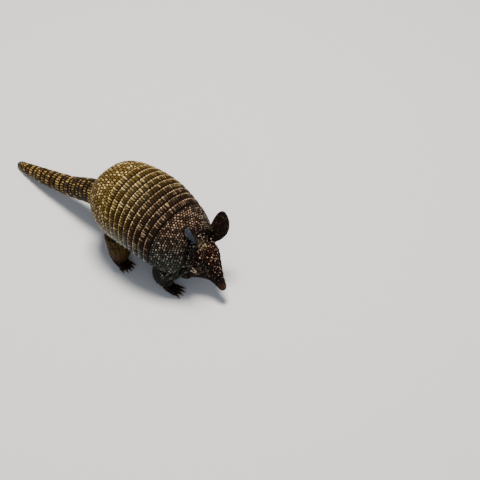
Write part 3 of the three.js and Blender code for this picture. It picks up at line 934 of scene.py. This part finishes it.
with edited(skin) as work:
    where = np.array([v.co for v in work.verts])
    station, turned, filled = body_place(where)
    hidden = ((turned < rim_angle(station) - HIDDEN) & (station > HIDDEN_STATION)
              & (where[:, 1] > HIDDEN_Y))
    work.verts.ensure_lookup_table()
    bmesh.ops.delete(work, geom=[work.verts[i] for i in np.flatnonzero(hidden)], context="VERTS")
    bmesh.ops.holes_fill(work, edges=[edge for edge in work.edges if edge.is_boundary], sides=0)
    inside = into_head(np.array([v.co for v in work.verts]))
    on_head = ((inside[:, 1] < FINE_REAR) & (inside[:, 1] > FINE_FRONT)
               & (np.abs(inside[:, 0]) < FINE_SIDE))
    fine = [edge for edge in work.edges if all(on_head[end.index] for end in edge.verts)]
    bmesh.ops.subdivide_edges(work, edges=fine, cuts=1, use_grid_fill=True, smooth=0.6)
    bmesh.ops.triangulate(work, faces=[face for face in work.faces if len(face.verts) > 4])
print("skin has", len(skin.polygons), "faces after the cut and the finer head")

# %% [markdown]
# ## Relief of the skin
# Where there is no shell the animal is still leathery and set with small bosses: scutes on the cheeks
# and legs, finer ones on the snout, faint wrinkles on the belly. They are irregular, so here the
# lattice is made of scattered points in space, and again each point of the skin takes its height from
# its distances to the nearest two.

# %% Scattered bosses
def cells(points, size, seed):
    """As for the scute lattice, but with bosses scattered in space, about a given size apart."""
    scaled = points / size

    def bosses():
        for step in np.stack(np.meshgrid(*[(-1, 0, 1)] * 3), -1).reshape(-1, 3):
            near = np.floor(scaled) + step
            x, y, z = np.moveaxis(near, -1, 0)
            shake = np.stack([hashed(x + 57 * z, y, seed + k) for k in range(3)], -1)
            yield np.linalg.norm(near + 0.15 + 0.7 * shake - scaled, axis=-1), shake[..., 0]

    nearest, to_groove, luck = nearest_boss(bosses())
    return nearest * size, to_groove * size, luck


# %% Free the eyes from the neck
OFF_HEAD = 0.8  # mm off the form of the head, which still counts as on it
SNUG = 0.93  # how far out skin is pressed, where 1 is just off the form of the head
PRESS_NEAR, PRESS_FAR = 7, 11  # mm from an eye where skin is pressed fully, and not at all
ROUND_NEAR, ROUND_FAR = 3.2, 7  # and the same for the place to which it is pressed
EASE_ROUNDS = 12


def fit_of(head):
    """How far out a point lies, where 1 is just off the form of the head."""
    back = np.clip(head[:, 1], 0, HEAD_LENGTH)
    reach = np.where(head[:, 2] > 0, head_top(back), head_bottom(back)) + OFF_HEAD
    return np.hypot(head[:, 0] / (head_half_width(back) + OFF_HEAD), head[:, 2] / reach)


# Round the eyes the skin lies close on the form of the head, and slopes up from there to the neck.
head = into_head(rows_of(skin.vertices, "co"))
squeeze = (SNUG / np.maximum(fit_of(head), SNUG))[:, None]
pressed = head * np.where([True, False, True], squeeze, 1)
now, then = (np.min([np.linalg.norm(each - eye_centre(side), axis=1) for side in SIDES.values()], axis=0)
             for each in (head, pressed))
press = fade(PRESS_NEAR, PRESS_FAR, now) * fade(ROUND_NEAR, ROUND_FAR, then)
head = lerp(head, pressed, press[:, None])
skin.vertices.foreach_set("co", from_head(head).ravel())
with edited(skin) as work:
    work.verts.ensure_lookup_table()
    slope = [work.verts[i] for i in np.flatnonzero((press > 0.01) & (then > ROUND_NEAR))]
    for _ in range(EASE_ROUNDS):
        bmesh.ops.smooth_vert(work, verts=slope, factor=0.5,
                              use_axis_x=True, use_axis_y=True, use_axis_z=True)
skin.update()
print("pressed", int((press > 0.5).sum()), "points round the eyes")

# %% Zones of the skin
PATCH = head_point(25.2, math.radians(-25), OFF_HEAD)  # middle of a cream patch by the right ear
PATCH_MM = 3.3
EAR_LOW, EAR_PAINTED = 1.2, 3  # mm up an ear where its paint starts, and is full
EAR_NEAR, EAR_DEEP = 1, 1.6  # mm that a point of an ear may lie beside its outline, and off its middle


def cream_patch(points, luck):
    """How cream a point in the head's own axes is. Each scute takes the paint differently."""
    return hump(np.linalg.norm(points - PATCH, axis=-1), PATCH_MM) * lerp(0.45, 1, luck)


where, facing = rows_of(skin.vertices, "co"), rows_of(skin.vertex_normals, "vector")
head = into_head(where)
snug = fit_of(head)
back_of_nose = head[:, 1]
head_angle = np.degrees(np.arctan2(np.abs(head[:, 0]), head[:, 2]))
face = fade(22, 27, back_of_nose) * (snug < 1.25)
nose = fade(1.5, 5, back_of_nose)
ear, ear_inside = np.zeros(len(where)), np.zeros(len(where))
for each in EARS.values():
    local = (head - each["root"]) @ ear_axes(each).T
    up_ear = np.clip(local[:, 1] / each["length"], 0, 1)
    half = each["width"] / 2 * ear_outline(up_ear)
    aside = local[:, 0] + each["bow"] * np.sin(math.pi * up_ear)
    hollow = EAR_CUP * aside ** 2 / half
    near_ear = ((local[:, 1] > EAR_LOW) & (local[:, 1] < each["length"] + EAR_NEAR)
                & (np.abs(aside) < half + EAR_NEAR)
                & (np.abs(local[:, 2] + EAR_THICKNESS / 2 - hollow) < EAR_DEEP))
    ear[near_ear] = smoothstep(EAR_LOW, EAR_PAINTED, local[near_ear, 1])
    inner = near_ear & (local[:, 2] > hollow - EAR_THICKNESS / 2)
    ear_inside[inner] = fade(0.6, 0.9, np.abs(aside[inner]) / half[inner])
station, turned, filled = body_place(where)
belly = smoothstep(6, 30, turned - rim_angle(station)) * (where[:, 2] > 5) * (np.abs(where[:, 1]) < 30)
print("ear points", int((ear > 0.5).sum()), "face points", int((face > 0.5).sum()))

# %% Eyes, lids, mouth and nostrils
LID_WIDTH, LID_HEIGHT = 1.6, 1.2  # half the opening between the lids
LID_SLANT = 0.25  # how much the opening rises for each mm that it runs back
LID_AT, LID_SOFT = 1.35, 0.45  # the lids' ridge, in openings from the middle, and its spread
LID_THICK, LID_RISE = 0.1, 0.4  # how far the skin lies over the ball, and the ridge over that
LID_NEAR, LID_FAR = 1.9, 2.9  # mm from the ball's middle where skin is drawn to it, and is not
BALL_FLAT = 0.7  # how much lower the skin is at the middle of the opening, where the ball covers it
MOUTH_ANGLE, MOUTH_SPREAD = 122, 5  # degrees from the top of the head
NOSTRIL = np.array([1.15, 0.45, 0.55])  # the left one, in the head's own axes

move = np.zeros_like(where)
lid, nostrils = np.zeros(len(where)), np.zeros(len(where))
for side in SIDES.values():
    out = head - eye_centre(side)
    reach = np.linalg.norm(out, axis=1)
    outside = side * out[:, 0] > -0.2
    slanted_along = out[:, 1] + LID_SLANT * out[:, 2]
    slanted_up = out[:, 2] - LID_SLANT * out[:, 1]
    opening = np.hypot(slanted_along / LID_WIDTH, slanted_up / LID_HEIGHT)
    near_eye = outside & (reach < 4)
    ring = hump(opening - LID_AT, LID_SOFT) * near_eye
    over_ball = near_eye * fade(LID_NEAR, LID_FAR, reach)
    target = np.where(opening < 1, EYE_RADIUS - BALL_FLAT * (1 - opening),
                      EYE_RADIUS + LID_THICK + LID_RISE * ring)
    pull = (target - reach) * over_ball
    move += (out / np.maximum(reach, 0.1)[:, None] * pull[:, None]) @ HEAD_TURN.T
    lid = np.maximum(lid, over_ball * smoothstep(0.8, 1.1, opening) * fade(1.6, 2.2, opening))
    pit = np.linalg.norm(head - NOSTRIL * (side, 1, 1), axis=1)
    nostrils = np.maximum(nostrils, fade(0.25, 0.75, pit))

mouth = (hump(head_angle - MOUTH_ANGLE, MOUTH_SPREAD) * smoothstep(0, 1.5, back_of_nose)
         * fade(9.5, 12, back_of_nose))
print("lid points", int((lid > 0.5).sum()), "mouth points", int((mouth > 0.5).sum()))

# %% Press the relief into the skin
SCUTE_MM, SNOUT_SCUTE_MM = 1.35, 0.85
SKIN_RELIEF = 0.3
SKIN_GROOVE = (0.02, 0.26)
MOUTH_DEEP, NOSTRIL_DEEP = 0.35, 0.6
COLLAR_SPARE = 0.004  # how far before the collar, in stations, skin already counts as under it
NAPE_LOW, NAPE_HIGH = 20, 26  # mm over the floor between which the cheeks' colour turns to the nape's
THIGH_TOP = 25  # mm over the floor

coarse = cells(where, SCUTE_MM, 11)
small = cells(where, SNOUT_SCUTE_MM, 17)
on_snout = face * fade(9, 15, back_of_nose)
nearest, to_groove, luck = (lerp(a, b, on_snout) for a, b in zip(coarse, small))
size = lerp(SCUTE_MM, SNOUT_SCUTE_MM, on_snout)
proud = boss(nearest, to_groove, size, SKIN_GROOVE, dome=0.5)
plain = np.clip(np.maximum.reduce([0.6 * ear, 0.7 * lid, nostrils, mouth, 0.3 * nose]), 0, 1)
wrinkle = 0.5 + 0.5 * np.sin(where[:, 1] * 2.6 + 1.5 * np.sin(where[:, 0] * 0.5) + 0.8 * np.sin(where[:, 2]))
proud = proud * (1 - plain) + plain * 0.75
proud = lerp(proud, 0.35 + 0.5 * wrinkle, 0.5 * belly)
proud = proud * (1 - 0.9 * np.maximum(mouth, nostrils))
depth = SKIN_RELIEF * (1 - proud) * (1 - 0.6 * ear) + MOUTH_DEEP * mouth + NOSTRIL_DEEP * nostrils
move -= facing * depth[:, None]
where = where + move

# Under the shell nothing may come through it.
station, turned, filled = body_place(where)
room = 1 - UNDER_SHELL / np.minimum(half_width(station), back_rise(station))
behind_collar = station > collar_edge(np.clip(turned / rim_angle(station), 0, 1)) - COLLAR_SPARE
tuck = (turned < rim_angle(station) + 1) & (filled > room) & behind_collar & (ear < 0.5)
axis_y = lerp(COLLAR_Y, RUMP_Y, station)
middle = np.stack([0 * axis_y, axis_y, axis_height(station)], -1)
shrunk = middle + (where - middle) * (room / np.maximum(filled, 1e-6))[:, None]
where = np.where(tuck[:, None], shrunk, where)
where[:, 2] = np.maximum(where[:, 2], 0)
collar = (np.maximum(smoothstep(20, 26, back_of_nose), smoothstep(1.05, 1.25, snug)) * (where[:, 1] < -20)
          * (1 - ear) * np.where(np.abs(where[:, 0]) > 9, smoothstep(11, 16, where[:, 2]), 1))
skin.vertices.foreach_set("co", in_frame(where).ravel())
skin.update()
upper = smoothstep(NAPE_LOW, NAPE_HIGH, where[:, 2])
finish_mesh(skin, {"proud": proud, "luck": luck, "face": face, "nose": nose, "ear": ear,
                   "ear_inside": ear_inside, "lid": lid, "cheek": collar * (1 - upper),
                   "nape": collar * upper, "patch": cream_patch(head, luck),
                   "hind": smoothstep(-5, 5, where[:, 1]),
                   "height": np.clip(where[:, 2] / THIGH_TOP, 0, 1)}, crease=180)

# %% Skin paint
# The forelegs are almost black. The hind legs go from a red-brown foot to an olive thigh. The insides
# of the ears are blue-grey: a grey paint with painted blue light in it, a reflection put into the colour.
skin_body = layered(
    blended("hind", 0.2, 0.8, "#0b0706", blended("height", 0.25, 0.75, "#1e0903", "#3e2c08")),
    ("cheek", 0.2, 0.8, "#1c1e17"), ("face", 0.3, 0.8, "#150d0a"), ("nose", 0.2, 0.8, "#3c211b"),
    ("ear", 0.3, 0.8, "#100b09"), ("ear_inside", 0.2, 0.8, "#3f434b"), ("patch", 0.15, 0.6, "#7d6b4a"),
    ("lid", 0.3, 0.8, "#c2a988"))
skin_brushed = layered(
    blended("hind", 0.2, 0.8, "#5f5240", "#8a6834"),
    ("face", 0.3, 0.8, "#c4a089"), ("cheek", 0.2, 0.8, "#a6a894"), ("nape", 0.2, 0.8, "#e2c8ae"),
    ("ear", 0.3, 0.8, "#6e4c3a"), ("patch", 0.1, 0.5, "#f3e6cf"), ("lid", 0.3, 0.8, "#f6e6cc"),
    ("nose", 0.2, 0.8, "#d9a698"), ("ear_inside", 0.2, 0.8, "#a6acb8"))
skin_paint = painted("Satin acrylic on cast resin, hide", wash="#080403", body=skin_body,
                     brushed=skin_brushed, reach=(0.55, 0.95), cover=0.9, roughness=0.5)
flesh = ["trunk", "neck", "head", "ear_left", "ear_right"]
flesh += [f"{part}_{leg}_{side}" for part in ("leg", "foot") for leg in LEGS for side in SIDES]
new_piece("skin", skin, skin_paint, "skin_paint", *flesh)

# %% [markdown]
# ## Forehead plate
# On the forehead lies a shield of its own, set with scutes larger than the snout's. It is one more
# sheet, wrapped over the head, with scattered bosses instead of rows.

# %% Forehead
SHIELD_THICKNESS = 0.7
SHIELD_START, SHIELD_END = 7, 25.5
SHIELD_UNDER = 0.4  # how far its inside lies within the head
SHIELD_SIZE = (113, 97)
SHIELD_SCUTE_MM, SHIELD_GROOVE, SHIELD_RELIEF = 1.2, (0.02, 0.28), 0.32
SHIELD_ROUND, SHIELD_DROP = 0.8, 0.45  # how far from its edge it rounds off, and by how much
shield_edge = curve((SHIELD_START, 36), (15, 46), (21, 49), (SHIELD_END, 36))  # degrees to its edge

along, across = along_across(*SHIELD_SIZE)
distance = lerp(SHIELD_START, SHIELD_END, along)
angle = across * np.radians(shield_edge(distance))
smooth = head_point(distance, angle, GAP + SHIELD_THICKNESS)
edge = smoothstep(0, SHIELD_ROUND, to_edge(smooth))
nearest, to_groove, luck = cells(smooth, SHIELD_SCUTE_MM, 23)
proud = boss(nearest, to_groove, SHIELD_SCUTE_MM, SHIELD_GROOVE, dome=0.4)
grow = GAP + SHIELD_THICKNESS - SUNK - SHIELD_RELIEF * (1 - proud) - SHIELD_DROP * (1 - edge)
outer = from_head(head_point(distance, angle, grow))
inner = from_head(head_point(distance, angle, -SHIELD_UNDER))[::(SHIELD_SIZE[0] - 1) // INNER_ROWS]
forehead = sheet_mesh("forehead_scutes", outer, inner, {
    "proud": proud * lerp(0.4, 1, edge), "luck": luck, "crown": along, "cream": cream_patch(smooth, luck)})
face_paint = painted(
    "Satin acrylic on cast resin, forehead", wash="#080302",
    body=blended("cream", 0.15, 0.6, blended("crown", 0.1, 0.5, "#110907", "#240c06"), "#7d6b4a"),
    brushed=blended("cream", 0.1, 0.5, "#d4ab90", "#f3e6cf"), reach=(0.7, 1.0))
new_piece("forehead_scutes", forehead, face_paint, "face_paint", "head_shield")

# %% [markdown]
# ## Tail
# The tail is sheathed in rings. Each has a row of small scutes in front and a row of slightly larger
# ones behind, and widens to the rear, so the outline is finely stepped.

# %% Tail
TAIL_RINGS = 10
TAIL_TIP_START = 0.86
TAIL_FLARE = 0.12
TAIL_SUNK, TAIL_RELIEF, TAIL_WORN = 0.06, 0.36, 0.1
TAIL_ROUND = 0.07  # part of the tail over which its tip is rounded off
FRONT_ROW = 0.45  # part of a ring that its front row takes
TAIL_SCUTE_MM = 1.5
TAIL_SIZE = (345, 168)

tail_line = path((0, 31, 24), (0, 48, 19.6), (0, 64, 13.4), (.3, 83, 8.2), (1.2, 99, 4.1), (2.2, 111, 1.3))
tail_radius = curve((0, 8.1), (.22, 6.9), (.42, 5.7), (.64, 4.5), (.85, 3.1), (1, 2.2))
tail_station = curve((0, 0), (.5, .4), (1, TAIL_TIP_START))

t, turn = along_around(*TAIL_SIZE)
ring_starts = np.append(tail_station(np.arange(TAIL_RINGS + 1) / TAIL_RINGS), [0.9, 0.94, 0.98, 1.02])
ring = np.clip(np.searchsorted(ring_starts, t, side="right") - 1, 0, len(ring_starts) - 2)
in_ring = (t - ring_starts[ring]) / (ring_starts[ring + 1] - ring_starts[ring])
count = np.round(2 * math.pi * tail_radius(ring_starts[ring]) / TAIL_SCUTE_MM)
rear_row = in_ring > FRONT_ROW
column = turn / (2 * math.pi) * count + 0.5 * rear_row
centred = np.abs(2 * (column - np.floor(column)) - 1)
in_row = np.where(rear_row, (in_ring - FRONT_ROW) / (1 - FRONT_ROW), in_ring / FRONT_ROW)
proud = (fade(0.5, 0.95, centred) * smoothstep(0, 0.4, in_row)
         * (1 - 0.6 * smoothstep(0.85, 1, in_row)) * np.where(rear_row, 1, 0.9))
luck = hashed(np.floor(column) % count, ring * 2 + rear_row, 31)
flare = TAIL_FLARE * in_ring * fade(0.93, 1, in_ring) * (t < TAIL_TIP_START)
full = (1 - np.clip((t + TAIL_ROUND - 1) / TAIL_ROUND, 0, 1) ** 2.2) ** 0.5
radius = tail_radius(t) - TAIL_SUNK - TAIL_RELIEF * (1 - proud) - TAIL_WORN * luck * proud + flare
radius = radius * np.maximum(full, 0.02)
surface = around(tail_line, t, radius * np.sin(turn), radius * np.cos(turn))
surface[..., 2] = np.maximum(surface[..., 2], 0)
tail = tube_mesh("tail_scutes", surface, {"proud": proud, "luck": luck, "along": t})
tail_paint = painted(
    "Satin acrylic on cast resin, tail", wash="#0b0602",
    body=blended("along", 0.3, 0.7, "#1f1407", blended("along", 0.9, 0.97, "#332106", "#2c2b2a")),
    brushed=blended("along", 0.9, 0.97, "#dab76f", "#c3c4c8"), reach=(0.7, 1.0))
rings = [f"tail_ring_{k + 1}" for k in range(TAIL_RINGS)]
new_piece("tail_scutes", tail, tail_paint, "tail_paint", "tail_tip", *rings)

# %% [markdown]
# ## Claws and eyes
# The claws are smooth points painted the colour of horn, rounder above than below. The eyes are small
# dark beads under a coat of clear gloss, and carry the only sharp highlights on the figure.

# %% Claws
CLAW_IN_TOE = 1.0  # how far the claw's root lies within the toe
CLAW_LIFT = 0.02  # its lowest height over the floor
CLAW_FLAT = 0.7  # how deep it is below its axis, against its height above
CLAW_SIZE = (25, 20)


def claw_mesh(name, toe, length):
    middle, ahead, aside = toe
    along, turn = along_around(*CLAW_SIZE)
    root = TOE_LENGTH / 2 - CLAW_IN_TOE
    run = root + (length + GAP + CLAW_IN_TOE) * along
    past = np.clip((run - TOE_LENGTH / 2 - GAP) / length, 0, 1)
    radius = 0.97 * CLAW_RADIUS * (1 - past ** 1.4) + 0.015
    rise = np.cos(turn)
    rise = np.where(rise < 0, CLAW_FLAT * rise, rise)
    surface = (middle + ahead * run[..., None] + aside * (0.92 * radius * np.sin(turn))[..., None]
               + UP * (radius * rise - CLAW_DROP * past ** 2)[..., None])
    surface[..., 2] = np.maximum(surface[..., 2], CLAW_LIFT)
    return tube_mesh(name, surface, {"proud": 0.3 + 0.7 * past, "luck": np.ones_like(past)})


claw_paint = painted("Satin acrylic on cast resin, claws", wash="#120b07", body="#2c2018",
                     brushed="#8a7252", reach=(0.4, 1.0), cover=0.8, roughness=0.38)
claws = 0
for leg_name, leg in LEGS.items():
    for side_name, side in SIDES.items():
        for i, toe in enumerate(toes(leg, side)):
            name = f"claw_{leg_name}_{side_name}_{i + 1}"
            new_piece("horn_" + name, claw_mesh(name, toe, leg["claw"]), claw_paint, "claw_paint", name)
            claws += 1
print(claws, "claws")

# %% Eyes
eye_gloss, tree = new_material("Gloss varnish over dark acrylic, eyes")
bead = add(tree, "ShaderNodeBsdfPrincipled", {
    "Base Color": colour("#120b08"), "Roughness": 0.12, "IOR": RESIN_IOR, "Coat Weight": 1.0,
    "Coat Roughness": 0.03})
add(tree, "ShaderNodeOutputMaterial", {"Surface": bead.outputs[0]})

for side_name, side in SIDES.items():
    bpy.ops.mesh.primitive_uv_sphere_add(segments=48, ring_count=32, radius=EYE_RADIUS * MM)
    ball = bpy.context.object
    mesh = ball.data
    bpy.data.objects.remove(ball)
    mesh.transform(Matrix.Translation(in_frame(from_head(eye_centre(side)))))
    mesh.shade_smooth()
    new_piece(f"bead_eye_{side_name}", mesh, eye_gloss, "eye_gloss", f"eye_{side_name}")
